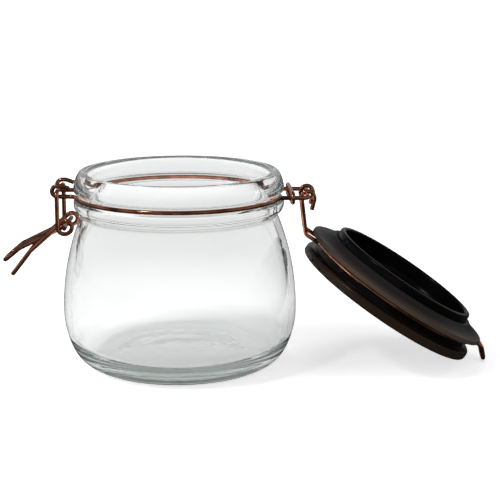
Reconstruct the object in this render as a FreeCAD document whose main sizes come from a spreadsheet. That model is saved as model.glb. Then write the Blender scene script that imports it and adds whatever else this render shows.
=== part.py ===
"""Clip-top glass storage jar of about half a litre, with a wire hinge and a wire latch.

The jar stands on the origin with +Z up. The lid's hinge is on the +X side and the latch on the -X side.
The lid pieces are modelled closed, on the jar's axis, and then swung open about the hinge bar by one angle.
Lengths are in millimetres and angles in degrees.
"""
import FreeCAD, Part
import math
import os

import Sketcher

Vector = FreeCAD.Vector

# Driving sizes: alias, value, meaning
SIZES = (
    # Wire, shared by all wire pieces
    ("wire_diameter", 2.0, "wire of every wire piece"),
    ("wire_fit", 0.1, "gap between a wire ring and the groove floor it sits on"),
    ("pivot_side_gap", 0.3, "side gap between the pieces of a wire pivot"),
    # Glass jar, outside
    ("jar_height", 91.5, "table to rim"),
    ("body_diameter", 109.0, "belly, at its widest"),
    ("belly_height", 27.0, "height of the widest place"),
    ("heel_radius", 16.0, "round between base and side"),
    ("heel_lean", 2.5, "how far the side leans out above the heel"),
    ("standing_ring_width", 5.0, "flat ring that the jar stands on"),
    ("punt_depth", 1.6, "hollow in the middle of the base"),
    ("rim_diameter", 91.8, "outside of the rim"),
    ("rim_width", 3.7, "glass at the rim, from the outside to the mouth"),
    ("rim_round", 1.6, "rounding of the rim's edges"),
    ("collar_flare", 2.8, "collar and bead beyond the rim"),
    ("groove_depth", 1.7, "neck ring's groove, into the collar"),
    ("groove_slack", 0.6, "groove floor height beyond the wire's diameter"),
    ("groove_flank", 0.9, "height of each sloping side of the groove"),
    ("ring_drop", 10.9, "neck ring below the rim"),
    ("bead_drop", 14.9, "widest place of the bead below the rim"),
    ("waist_drop", 19.5, "waist below the rim"),
    ("waist_depth", 3.5, "waist inside the bead"),
    ("waist_round", 1.6, "round in the waist's corner"),
    # Glass jar, inside
    ("mouth_depth", 20.5, "straight length of the neck, from the rim"),
    ("wall_thickness", 3.2, "glass at the belly"),
    ("floor_thickness", 7.4, "glass under the inner floor's edge"),
    ("floor_crown", 1.0, "rise of the inner floor at its middle"),
    ("inner_heel_radius", 12.0, "round between inner floor and wall"),
    ("inner_heel_lean", 0.6, "how far the inner wall leans out above the heel"),
    ("mouth_round", 9.0, "round where the neck opens into the body"),
    # Lid and gasket
    ("seal_gap", 0.2, "rise of the closed gasket over the rim, unclamped"),
    ("lip_drop", 2.3, "gasket lip below the sealing circle"),
    ("edge_rise", 1.05, "gasket's outer edge above the sealing circle"),
    ("gasket_overhang", 0.9, "gasket beyond the rim"),
    ("gasket_wall", 2.1, "height of the gasket's outer wall"),
    ("gasket_lip", 1.9, "thickness of the gasket's lip on the plug"),
    ("gasket_flare_radius", 14.0, "hollow of the sealing face"),
    ("gasket_fit", 0.1, "gap between gasket and lid"),
    ("plug_gap", 6.0, "plug inside the mouth"),
    ("plug_length", 9.2, "plug below the gasket's back"),
    ("plug_wall", 2.8, "wall of the hollow plug"),
    ("dish_depth", 11.0, "depth of the hollow in the plug"),
    ("dish_round", 5.0, "round at the hollow's floor"),
    ("lid_groove_depth", 4.0, "lid ring's groove, from the lid's edge"),
    ("lid_groove_slack", 3.3, "groove height beyond the wire's diameter"),
    ("disc_inset", 0.6, "lid's edge inside the rim"),
    ("disc_edge", 4.4, "height of the lid's edge"),
    ("disc_round", 1.8, "rounding of the lid's edge"),
    ("dome_rise", 2.4, "rise of the lid's top at its middle"),
    ("plug_round", 1.0, "rounding of the plug's end"),
    # Hinge
    ("hinge_reach", 10.7, "hinge bar beyond the collar"),
    ("hinge_arm_spread", 24.0, "distance between the neck ring's rear arms"),
    ("hinge_bend", 2.5, "bend between arms and hinge bar"),
    ("ring_bend", 3.0, "bend where an arm meets its ring"),
    ("keeper_gap", 2.9, "keeper beyond the collar"),
    ("keeper_skew", 3.5, "slant of the keeper, seen from above"),
    ("table_gap", 0.2, "opened lid's tongue above the table"),
    ("hinge_hook_radius", 2.9, "lid ring's hooks, on the wire's centre line"),
    ("hinge_hook_spread", 15.0, "distance between those hooks"),
    ("hinge_hang", 0.6, "how far the hooks hang off the bar's centre"),
    ("leg_lean", 40.0, "closed lid's legs, from upright"),
    ("leg_bend", 3.0, "bend at the top of the legs"),
    ("hook_tail", 5.9, "length of the hooks' free ends"),
    ("hook_tail_bend", 1.2, "where those ends start to curl, from the bar"),
    ("hook_tail_curl", 1.8, "how far those ends curl in"),
    ("tongue_width", 5.8, "distance between the tongue's sides"),
    ("tongue_reach", 7.6, "straight part of the tongue beyond the lid ring"),
    ("tongue_rise", 4.7, "upturned end of the tongue, up and out alike"),
    ("tongue_bend", 2.2, "bends of the tongue"),
    # Latch
    ("latch_reach", 6.5, "lever pivot beyond the collar"),
    ("latch_hook_radius", 2.5, "neck ring's front hooks, on the wire's centre line"),
    ("latch_hook_spread", 17.2, "distance between those hooks"),
    ("latch_tail", 5.4, "free ends of those hooks, from the pivot"),
    ("latch_tail_bend", 1.8, "where those ends start to bend, from the pivot"),
    ("latch_tail_drop", 1.3, "how far those ends bend down"),
    ("wire_bend", 2.0, "tight bends of the lever and the bail"),
    ("pivot_end", 1.3, "lever's end beyond the middle of a front hook"),
    ("arm_length", 16.3, "lever pivot to coil"),
    ("coil_outer_radius", 3.2, "first half turn of a coil, on the centre line"),
    ("coil_inner_radius", 2.6, "rest of a coil, on the centre line"),
    ("coil_gap", 0.5, "gap between a coil's crossing wires"),
    ("handle_drop", 41.6, "handle's first part, below level"),
    ("handle_length", 20.5, "handle's first part"),
    ("handle_taper", 1.6, "how far each side closes in on the first part"),
    ("grip_drop", 52.0, "handle's end part, below level"),
    ("grip_length", 15.6, "handle's end part"),
    ("grip_width", 8.6, "width of the handle's end"),
    ("grip_bend", 3.6, "bends of the handle's end"),
    ("handle_bend", 8.0, "bend between the handle's parts"),
    ("bail_side_gap", 1.0, "bail's legs inside the coils"),
    ("bail_end", 0.5, "bail's ends beyond the coils"),
    ("bail_drop", 26.0, "bail's legs, below level"),
    ("bail_length", 24.6, "bail's legs"),
    ("bail_taper", 0.3, "how far each leg closes in"),
    ("bail_tip_drop", 40.0, "bail's end part, below level"),
    ("bail_tip_length", 9.7, "bail's end part"),
    ("bail_tip_width", 12.2, "width of the bail's end"),
    ("bail_tip_bend", 4.8, "bends of the bail's end"),
    ("bail_bend", 5.0, "bend between the bail's parts"),
    ("bail_pivot_drop", 0.2, "bail's pivot below the coil's middle"),
)

NODES = ("glass_jar", "neck_ring", "neck_ring_keeper", "lever", "bail", "lid_ring", "lid", "gasket")

# Formulas that more than one piece uses
BASE_RADIUS = "Sizes.body_diameter / 2 - Sizes.heel_radius - Sizes.heel_lean"
RIM = "Sizes.rim_diameter / 2"
MOUTH = f"{RIM} - Sizes.rim_width"
COLLAR = f"{RIM} + Sizes.collar_flare"
GROOVE = f"{COLLAR} - Sizes.groove_depth"
RING_HEIGHT = "Sizes.jar_height - Sizes.ring_drop"
RIM_ROUND = "min(Sizes.rim_round; 0.45 * Sizes.rim_width)"
PLUG = f"{MOUTH} - Sizes.plug_gap"
DISC = f"{RIM} - Sizes.disc_inset"
LID_GROOVE = f"{DISC} - Sizes.lid_groove_depth"
SEAL_HEIGHT = "Sizes.jar_height + Sizes.seal_gap"
GASKET_EDGE = f"{SEAL_HEIGHT} + Sizes.edge_rise"
GASKET_TOP = f"{GASKET_EDGE} + Sizes.gasket_wall"
LID_GROOVE_BOTTOM = f"{GASKET_TOP} + Sizes.gasket_fit"
LID_GROOVE_TOP = f"{LID_GROOVE_BOTTOM} + Sizes.wire_diameter + Sizes.lid_groove_slack"
PLUG_END = f"{LID_GROOVE_BOTTOM} - Sizes.plug_length"
PLUG_ROUND = "min(Sizes.plug_round; 0.45 * Sizes.plug_wall)"
DISC_ROUND = "min(Sizes.disc_round; 0.45 * Sizes.disc_edge)"


class Sizes:
    """The sheet's values by alias, for the pieces whose paths are worked out here."""

    def __init__(self, sheet):
        self.sheet = sheet

    def __getattr__(self, alias):
        return float(self.sheet.get(alias))

    def value(self, formula):
        """Value of a formula written in the sheet's aliases."""
        return float(self.sheet.evalExpression(formula))


def make_sheet(doc):
    """Spreadsheet with one row for each driving size."""
    sheet = doc.addObject("Spreadsheet::Sheet", "Sizes")
    for row, (alias, value, meaning) in enumerate(SIZES, start=1):
        sheet.set(f"A{row}", alias)
        sheet.set(f"B{row}", str(value))
        sheet.set(f"C{row}", meaning)
        sheet.setAlias(f"B{row}", alias)
    doc.recompute()
    return sheet


# Turned pieces: an outline in the XZ plane, revolved about the jar's axis

class Outline:
    """Closed sketch outline of a turned piece, with x as the radius and y as the height."""

    def __init__(self, body, name):
        self.sketch = body.newObject("Sketcher::SketchObject", name)
        plane = next(f for f in body.Origin.OriginFeatures if f.Role == "XZ_Plane")
        self.sketch.AttachmentSupport = [(plane, "")]
        self.sketch.MapMode = "FlatFace"
        self.first = None
        self.last = None

    def point(self, radius, height):
        """Point given by two formulas."""
        return Vector(self.sketch.evalExpression(radius), self.sketch.evalExpression(height), 0)

    def bind(self, kind, *where, formula):
        """Add a dimension and bind it to a formula."""
        value = self.sketch.evalExpression(formula)
        index = self.sketch.addConstraint(Sketcher.Constraint(kind, *where, value))
        self.sketch.setExpression(f"Constraints[{index}]", formula)

    def hold(self, geometry, end, radius, height):
        """Hold one end of an edge at a radius and a height, on the axis where the radius is 0."""
        if radius == "0":
            self.sketch.addConstraint(Sketcher.Constraint("PointOnObject", geometry, end, -2))
        else:
            self.bind("DistanceX", -1, 1, geometry, end, formula=radius)
        if height == "0":
            self.sketch.addConstraint(Sketcher.Constraint("PointOnObject", geometry, end, -1))
        else:
            self.bind("DistanceY", -1, 1, geometry, end, formula=height)

    def start(self, radius, height):
        """Begin at a point given by two formulas."""
        self.start_formulas = (radius, height)
        self.here = self.point(radius, height)

    def join(self, geometry, start, end, there):
        """Join an edge to the one before it."""
        if self.last is None:
            self.first = (geometry, start)
            self.hold(geometry, start, *self.start_formulas)
        else:
            self.sketch.addConstraint(Sketcher.Constraint("Coincident", *self.last, geometry, start))
        self.last = (geometry, end)
        self.here = there

    def line_to(self, radius, height):
        """Straight edge to a held point."""
        there = self.point(radius, height)
        geometry = self.sketch.addGeometry(Part.LineSegment(self.here, there))
        self.join(geometry, 1, 2, there)
        self.hold(geometry, 2, radius, height)

    def add_arc(self, centre, there):
        """Short way round a centre from here to there; returns the edge and its two ends."""
        arm = self.here - centre
        turn = arm.cross(there - centre).z
        begin, finish = (self.here, there) if turn > 0 else (there, self.here)
        circle = Part.Circle(centre, Vector(0, 0, 1), arm.Length)
        arc = Part.ArcOfCircle(circle, circle.parameter(begin), circle.parameter(finish))
        geometry = self.sketch.addGeometry(arc)
        return (geometry, 1, 2) if turn > 0 else (geometry, 2, 1)

    def arc_level(self, radius, height, level):
        """Arc to a held point, with its centre at the height given, so that it is upright there."""
        there = self.point(radius, height)
        y = self.sketch.evalExpression(level)
        across = there.x ** 2 - self.here.x ** 2 + (there.y - y) ** 2 - (self.here.y - y) ** 2
        centre = Vector(across / (2 * (there.x - self.here.x)), y, 0)
        geometry, start, end = self.add_arc(centre, there)
        self.join(geometry, start, end, there)
        self.hold(geometry, end, radius, height)
        self.bind("DistanceY", -1, 1, geometry, 3, formula=level)

    def arc_crown(self, radius, height):
        """Arc to a held point, with its centre on the axis, so that it is level there."""
        there = self.point(radius, height)
        up = there.y ** 2 - self.here.y ** 2 + there.x ** 2 - self.here.x ** 2
        centre = Vector(0, up / (2 * (there.y - self.here.y)), 0)
        geometry, start, end = self.add_arc(centre, there)
        self.join(geometry, start, end, there)
        self.hold(geometry, end, radius, height)
        self.sketch.addConstraint(Sketcher.Constraint("PointOnObject", geometry, 3, -2))

    def arc_radius(self, radius, height, arc_radius):
        """Arc of a stated radius to a held point, bulging to the left of the way there."""
        there = self.point(radius, height)
        size = self.sketch.evalExpression(arc_radius)
        chord = there - self.here
        offset = math.sqrt(size ** 2 - (chord.Length / 2) ** 2)
        side = Vector(chord.y, -chord.x, 0).normalize()
        centre = (self.here + there) * 0.5 + side * offset
        geometry, start, end = self.add_arc(centre, there)
        self.join(geometry, start, end, there)
        self.hold(geometry, end, radius, height)
        self.bind("Radius", geometry, formula=arc_radius)

    def heel(self, low, high, heel_radius, upwards):
        """Heel arc off a level floor and a side arc that is upright at the belly, tangent to each other.

        low and high are the formulas of the heel's place on the floor and of the belly.
        """
        floor = self.point(*low)
        belly = self.point(*high)
        size = self.sketch.evalExpression(heel_radius)
        heel_centre = floor + Vector(0, size, 0)
        inset = floor.x - belly.x
        drop = heel_centre.y - belly.y
        side_radius = (size ** 2 - inset ** 2 - drop ** 2) / (2 * (inset + size))
        side_centre = belly - Vector(side_radius, 0, 0)
        meeting = side_centre + (heel_centre - side_centre).normalize() * side_radius
        centres = (heel_centre, side_centre) if upwards else (side_centre, heel_centre)
        finish = belly if upwards else floor
        first = self.add_arc(centres[0], meeting)
        self.join(*first, meeting)
        second = self.add_arc(centres[1], finish)
        heel_edge, side_edge = (first, second) if upwards else (second, first)
        joint = (first[0], first[2], second[0], second[1])
        self.sketch.addConstraint(Sketcher.Constraint("Tangent", *joint))
        self.last = (second[0], second[2])
        self.here = finish
        self.hold(second[0], second[2], *(high if upwards else low))
        self.bind("Radius", heel_edge[0], formula=heel_radius)
        self.bind("DistanceX", -1, 1, heel_edge[0], 3, formula=low[0])
        self.bind("DistanceY", -1, 1, side_edge[0], 3, formula=high[1])

    def close(self):
        """Straight edge back to the first point."""
        there = self.point(*self.start_formulas)
        geometry = self.sketch.addGeometry(Part.LineSegment(self.here, there))
        self.join(geometry, 1, 2, there)
        self.sketch.addConstraint(Sketcher.Constraint("Coincident", *self.last, *self.first))


def turn(body, outline):
    """Revolve an outline once round the axis."""
    turned = body.newObject("PartDesign::Revolution", body.Name + "_turned")
    turned.Profile = outline.sketch
    turned.ReferenceAxis = (outline.sketch, ["V_Axis"])
    turned.Angle = 360
    outline.sketch.Visibility = False
    body.Document.recompute()
    return turned


def round_edges(body, base, places, radius):
    """Fillet the round edges of a turned piece that lie at the places given by formulas."""
    found = []
    for place in places:
        r, z = (base.evalExpression(formula) for formula in place)
        for index, edge in enumerate(base.Shape.Edges, start=1):
            if edge.Degenerated or not isinstance(edge.Curve, Part.Circle):
                continue
            if abs(edge.Curve.Radius - r) < 1e-4 and abs(edge.Curve.Center.z - z) < 1e-4:
                found.append(f"Edge{index}")
                break
        else:
            raise RuntimeError(f"{body.Label}: no round edge at {place}")
    fillet = body.newObject("PartDesign::Fillet", f"{body.Name}_round_{len(body.Group)}")
    fillet.Base = (base, found)
    fillet.Radius = base.evalExpression(radius)
    fillet.setExpression("Radius", radius)
    body.Document.recompute()
    return fillet


def make_jar(doc):
    """Glass jar: hollow base, belly, waist, bead, groove for the neck ring, collar and rim."""
    body = doc.addObject("PartDesign::Body", "glass_jar")
    groove_half = "(Sizes.wire_diameter + Sizes.groove_slack) / 2"
    groove_low = f"{RING_HEIGHT} - {groove_half}"
    groove_high = f"{RING_HEIGHT} + {groove_half}"
    collar_low = f"{groove_high} + Sizes.groove_flank"
    inner_belly = "Sizes.body_diameter / 2 - Sizes.wall_thickness"
    inner_base = f"{inner_belly} - Sizes.inner_heel_radius - Sizes.inner_heel_lean"
    neck_end = "Sizes.jar_height - Sizes.mouth_depth"
    waist = (f"{COLLAR} - Sizes.waist_depth", "Sizes.jar_height - Sizes.waist_drop")
    bead_height = "Sizes.jar_height - Sizes.bead_drop"

    outline = Outline(body, "jar_outline")
    outline.start("0", "Sizes.punt_depth")
    outline.arc_crown(f"{BASE_RADIUS} - Sizes.standing_ring_width", "0")
    outline.line_to(BASE_RADIUS, "0")
    belly = ("Sizes.body_diameter / 2", "Sizes.belly_height")
    outline.heel((BASE_RADIUS, "0"), belly, "Sizes.heel_radius", upwards=True)
    outline.arc_level(*waist, "Sizes.belly_height")
    outline.arc_level(COLLAR, bead_height, bead_height)
    outline.line_to(COLLAR, f"{groove_low} - Sizes.groove_flank")
    outline.line_to(GROOVE, groove_low)
    outline.line_to(GROOVE, groove_high)
    outline.line_to(COLLAR, collar_low)
    outline.arc_level(RIM, "Sizes.jar_height", collar_low)
    outline.line_to(MOUTH, "Sizes.jar_height")
    outline.line_to(MOUTH, neck_end)
    outline.arc_level(inner_belly, "Sizes.belly_height", "Sizes.belly_height")
    inner_floor = (inner_base, "Sizes.floor_thickness")
    outline.heel(inner_floor, (inner_belly, "Sizes.belly_height"), "Sizes.inner_heel_radius", upwards=False)
    outline.arc_crown("0", "Sizes.floor_thickness + Sizes.floor_crown")
    outline.close()

    shape = turn(body, outline)
    rim_edges = ((RIM, "Sizes.jar_height"), (MOUTH, "Sizes.jar_height"))
    shape = round_edges(body, shape, rim_edges, RIM_ROUND)
    shape = round_edges(body, shape, (waist,), "Sizes.waist_round")
    round_edges(body, shape, ((MOUTH, neck_end),), "Sizes.mouth_round")
    return body


def make_lid(doc):
    """Lid: domed disc, groove for the lid ring, seat for the gasket and hollow plug."""
    body = doc.addObject("PartDesign::Body", "lid")
    dish = f"{PLUG} - Sizes.plug_wall"
    dish_floor = f"{PLUG_END} + Sizes.dish_depth"
    disc_top = f"{LID_GROOVE_TOP} + Sizes.disc_edge"

    outline = Outline(body, "lid_outline")
    outline.start("0", dish_floor)
    outline.line_to(dish, dish_floor)
    outline.line_to(dish, PLUG_END)
    outline.line_to(PLUG, PLUG_END)
    outline.line_to(PLUG, LID_GROOVE_BOTTOM)
    outline.line_to(LID_GROOVE, LID_GROOVE_BOTTOM)
    outline.line_to(LID_GROOVE, LID_GROOVE_TOP)
    outline.line_to(DISC, LID_GROOVE_TOP)
    outline.line_to(DISC, disc_top)
    outline.arc_crown("0", f"{disc_top} + Sizes.dome_rise")
    outline.close()

    shape = turn(body, outline)
    shape = round_edges(body, shape, ((dish, dish_floor),), "Sizes.dish_round")
    shape = round_edges(body, shape, ((dish, PLUG_END), (PLUG, PLUG_END)), PLUG_ROUND)
    round_edges(body, shape, ((DISC, LID_GROOVE_TOP), (DISC, disc_top)), DISC_ROUND)
    return body


def make_gasket(doc):
    """Gasket: a ring on the plug with a hollow sealing face that flares out over the rim."""
    body = doc.addObject("PartDesign::Body", "gasket")
    bore = f"{PLUG} + Sizes.gasket_fit"
    lip = f"{bore} + Sizes.gasket_lip"
    lip_end = f"{SEAL_HEIGHT} - Sizes.lip_drop"
    edge = f"{RIM} + Sizes.gasket_overhang"

    outline = Outline(body, "gasket_outline")
    outline.start(bore, lip_end)
    outline.line_to(lip, lip_end)
    outline.arc_radius(edge, GASKET_EDGE, "Sizes.gasket_flare_radius")
    outline.line_to(edge, GASKET_TOP)
    outline.line_to(bore, GASKET_TOP)
    outline.close()
    turn(body, outline)
    return body


# Wire pieces: a path of straight runs and arcs, each kept as start, middle of an arc or None, and end

def unit(vector):
    """Vector of length one along another."""
    return Vector(vector).normalize()


def reverse(path):
    """The same path from its other end."""
    return [(end, middle, start) for start, middle, end in reversed(path)]


def bent(points, radii):
    """Straight runs through points, with a bend of its own radius at each inner point."""
    path = []
    here = points[0]
    for before, corner, after, radius in zip(points, points[1:], points[2:], radii):
        back = unit(before - corner)
        onward = unit(after - corner)
        half_angle = back.getAngle(onward) / 2
        reach = radius / math.tan(half_angle)
        inward = unit(back + onward)
        start = corner + back * reach
        end = corner + onward * reach
        middle = corner + inward * (radius / math.sin(half_angle) - radius)
        if (start - here).Length > 1e-6:
            path.append((here, None, start))
        path.append((start, middle, end))
        here = end
    if (points[-1] - here).Length > 1e-6:
        path.append((here, None, points[-1]))
    return path


def arc_from(start, heading, end):
    """Arc that leaves start along a heading and reaches end."""
    chord = end - start
    side = chord - heading * chord.dot(heading)
    if side.Length < 1e-6:
        return (start, None, end)
    side = unit(side)
    radius = chord.Length ** 2 / (2 * chord.dot(side))
    centre = start + side * radius
    middle = centre + unit((start + end) * 0.5 - centre) * radius
    return (start, middle, end)


def biarc(start, heading, end, end_heading):
    """Two arcs that join two points smoothly with the headings given."""
    chord = end - start
    both = heading + end_heading
    square = 2 * (heading.dot(end_heading) - 1)
    linear = -2 * chord.dot(both)
    constant = chord.dot(chord)
    if abs(square) < 1e-9:
        reach = -constant / linear
    else:
        root = math.sqrt(linear ** 2 - 4 * square * constant)
        reach = (-linear - root) / (2 * square)
    middle = (start + end + (heading - end_heading) * reach) * 0.5
    first = arc_from(start, heading, middle)
    second = reverse([arc_from(end, end_heading * -1, middle)])
    return [first] + second


def ring_entry(ring_radius, bend_radius, offset):
    """Bend from a run along X, at an offset from the middle, into a ring about the jar's axis.

    Returns three points on the +X and +Y side: the bend's start on the run, its middle and its end on the ring.
    """
    reach = ring_radius + bend_radius
    centre = Vector(math.sqrt(reach ** 2 - (offset + bend_radius) ** 2), offset + bend_radius, 0)
    leave = centre - Vector(0, bend_radius, 0)
    meet = centre * (ring_radius / reach)
    middle = centre + unit(unit(leave - centre) + unit(meet - centre)) * bend_radius
    return leave, middle, meet


def on_side(point, end, side, height):
    """A ring entry's point at the front or the rear end, on one side, at a height."""
    return Vector(point.x * end, point.y * side, height)


def ring_half(rear, front, ring_radius, side, height):
    """Half a ring from its rear run to its front run, between two ring entries."""
    rear_leave, rear_middle, rear_meet = (on_side(p, 1, side, height) for p in rear)
    front_leave, front_middle, front_meet = (on_side(p, -1, side, height) for p in front)
    return [
        (rear_leave, rear_middle, rear_meet),
        (rear_meet, Vector(0, ring_radius * side, height), front_meet),
        (front_meet, front_middle, front_leave),
    ]


def sample(path, spacing):
    """Points along a path with their distance from its start."""
    points = []
    travelled = 0.0
    for start, middle, end in path:
        edge = edge_of(start, middle, end)
        count = max(2, int(edge.Length / spacing))
        for index, point in enumerate(edge.discretize(count)):
            points.append((travelled + edge.Length * index / (count - 1), point))
        travelled += edge.Length
    return points


def least_gap(path, diameter):
    """Least gap between the wire and itself, away from its own bends."""
    points = sample(path, spacing=diameter / 4)
    apart = 4 * diameter
    least = math.inf
    for index, (travelled, point) in enumerate(points):
        for other_travelled, other in points[index + 1:]:
            if other_travelled - travelled > apart:
                least = min(least, (other - point).Length)
    return least - diameter


def edge_of(start, middle, end):
    """Edge of one piece of a path."""
    if middle is None:
        return Part.LineSegment(start, end).toShape()
    return Part.Arc(start, middle, end).toShape()


def make_wire_piece(doc, label, path, closed=False):
    """Round wire swept along a path."""
    spine = doc.addObject("Part::Feature", label + "_path")
    spine.Shape = Part.Wire([edge_of(*piece) for piece in path])
    first = edge_of(*path[0])
    heading = first.tangentAt(first.FirstParameter)
    section = doc.addObject("Part::Circle", label + "_section")
    section.setExpression("Radius", "Sizes.wire_diameter / 2")
    section.Placement = FreeCAD.Placement(path[0][0], FreeCAD.Rotation(Vector(0, 0, 1), heading))
    wire = doc.addObject("Part::Sweep", label)
    wire.Sections = [section]
    wire.Spine = (spine, [])
    wire.Solid = True
    wire.Frenet = False
    doc.recompute()
    diameter = 2 * section.Radius.Value
    length = spine.Shape.Length
    share = wire.Shape.Volume / (math.pi / 4 * diameter ** 2 * length)
    gap = "closed link" if closed else f"least gap to itself {least_gap(path, diameter):.2f} mm"
    print(f"{label}: {length:.1f} mm of wire, volume {share:.4f} of section times length, {gap}")
    return wire


def hinge_bar(s):
    """Middle of the neck ring's rear cross-bar, which is the lid's hinge."""
    return Vector(s.value(COLLAR) + s.hinge_reach, 0, s.value(RING_HEIGHT))


def latch_pivot(s):
    """Middle of the neck ring's front hooks, which is the lever's pivot."""
    return Vector(-s.value(COLLAR) - s.latch_reach, 0, s.value(RING_HEIGHT) + s.latch_hook_radius)


def make_neck_ring(doc, s):
    """Neck ring: rear U with the hinge bar, ring in the jar's groove, and two hooks at the front."""
    height = s.value(RING_HEIGHT)
    radius = s.value(GROOVE) + s.wire_fit + s.wire_diameter / 2
    bar = hinge_bar(s)
    pivot = latch_pivot(s)
    arm = s.hinge_arm_spread / 2
    hook = s.latch_hook_spread / 2
    rear = ring_entry(radius, s.ring_bend, arm)
    front = ring_entry(radius, s.ring_bend, hook)
    loop = s.latch_hook_radius

    def half(side):
        corner = Vector(bar.x, arm * side, height)
        path = bent([bar, corner, on_side(rear[0], 1, side, height)], [s.hinge_bend])
        path += ring_half(rear, front, radius, side, height)
        loop_low = Vector(pivot.x - loop, hook * side, height)
        loop_high = loop_low + Vector(0, 0, 2 * loop)
        tail = Vector(pivot.x + s.latch_tail, hook * side, height + 2 * loop - s.latch_tail_drop)
        tail_bend = Vector(pivot.x + s.latch_tail_bend, hook * side, height + 2 * loop)
        points = [on_side(front[0], -1, side, height), loop_low, loop_high, tail_bend, tail]
        return path + bent(points, [loop, loop, loop])

    return make_wire_piece(doc, "neck_ring", reverse(half(-1)) + half(1))


def make_keeper(doc, s):
    """Keeper: oval wire link round both rear arms of the neck ring."""
    place = Vector(s.value(COLLAR) + s.keeper_gap, 0, s.value(RING_HEIGHT))
    arm = s.hinge_arm_spread / 2
    rise = s.wire_diameter + s.wire_fit
    turn_about = FreeCAD.Placement(place, FreeCAD.Rotation(Vector(0, 0, 1), s.keeper_skew))
    outline = (
        ((0, -arm, rise), None, (0, arm, rise)),
        ((0, arm, rise), (0, arm + rise, 0), (0, arm, -rise)),
        ((0, arm, -rise), None, (0, -arm, -rise)),
        ((0, -arm, -rise), (0, -arm - rise, 0), (0, -arm, rise)),
    )
    path = []
    for piece in outline:
        path.append(tuple(p if p is None else turn_about.multVec(Vector(*p)) for p in piece))
    return make_wire_piece(doc, "neck_ring_keeper", path, closed=True)


def lid_ring_radius(s):
    """Radius of the lid ring, on the wire's centre line."""
    return s.value(LID_GROOVE) + s.wire_fit + s.wire_diameter / 2


def tongue_elbow(s):
    """Middle of the bend between the tongue's straight part and its upturned end, on the closed lid."""
    height = s.value(LID_GROOVE_BOTTOM) + s.wire_fit + s.wire_diameter / 2
    return Vector(-lid_ring_radius(s) - s.tongue_reach, 0, height)


def tongue_tip(s):
    """Middle of the tongue's end, on the closed lid."""
    return tongue_elbow(s) + Vector(-s.tongue_rise, 0, s.tongue_rise)


def make_lid_ring(doc, s):
    """Lid ring, on the closed lid: tongue in front, ring in the lid's groove, legs and hooks behind."""
    radius = lid_ring_radius(s)
    elbow_middle = tongue_elbow(s)
    height = elbow_middle.z
    tip = tongue_tip(s)
    tongue = s.tongue_width / 2
    hook = s.hinge_hook_spread / 2
    rear = ring_entry(radius, s.tongue_bend, hook)
    front = ring_entry(radius, s.tongue_bend, tongue)
    lean = math.radians(s.leg_lean)
    up = Vector(-math.sin(lean), 0, math.cos(lean))
    out = Vector(math.cos(lean), 0, math.sin(lean))
    eye = hinge_bar(s) + up * s.hinge_hang
    loop = s.hinge_hook_radius
    leg_foot = eye + out * loop
    leg_top = leg_foot + up * ((height - leg_foot.z) / up.z)

    def half(side):
        across = Vector(0, hook * side, 0)
        tip_corner = tip + Vector(0, tongue * side, 0)
        elbow = elbow_middle + Vector(0, tongue * side, 0)
        path = bent([tip, tip_corner, elbow, on_side(front[0], -1, side, height)], [tongue, s.tongue_bend])
        path += reverse(ring_half(rear, front, radius, side, height))
        points = [
            on_side(rear[0], 1, side, height),
            leg_top + across,
            eye + out * loop - up * loop + across,
            eye - out * loop - up * loop + across,
            eye - out * loop + up * s.hook_tail_bend + across,
            eye - out * (loop - s.hook_tail_curl) + up * s.hook_tail + across,
        ]
        return path + bent(points, [s.leg_bend, loop, loop, loop])

    return make_wire_piece(doc, "lid_ring", reverse(half(-1)) + half(1))


def coil_points(s):
    """Places on a coil and its headings, seen from the side, from the arm's foot to the handle.

    Returns the list of (x, z, heading x, heading z) for each quarter turn and the handle's start.
    """
    pivot = latch_pivot(s)
    level = pivot.z - s.arm_length
    outer = s.coil_outer_radius
    inner = s.coil_inner_radius
    outer_x = pivot.x + outer
    inner_x = pivot.x + 2 * outer - inner
    turns = [(outer_x, outer, 180), (outer_x, outer, 270), (inner_x, inner, 360), (inner_x, inner, 450)]
    turns.append((inner_x, inner, 450 + s.handle_drop))
    places = []
    for centre_x, radius, angle in turns:
        a = math.radians(angle)
        x = centre_x + radius * math.cos(a)
        z = level + radius * math.sin(a)
        places.append((x, z, -math.sin(a), math.cos(a)))
    return places


def lever_arm_offset(s):
    """Distance of the lever's arms from the middle."""
    return s.latch_hook_spread / 2 + s.wire_diameter / 2 + s.pivot_side_gap + s.wire_bend


def coil_shift(s):
    """How far a coil steps towards the middle, so that its wires pass beside each other."""
    return s.wire_diameter + s.coil_gap


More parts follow.
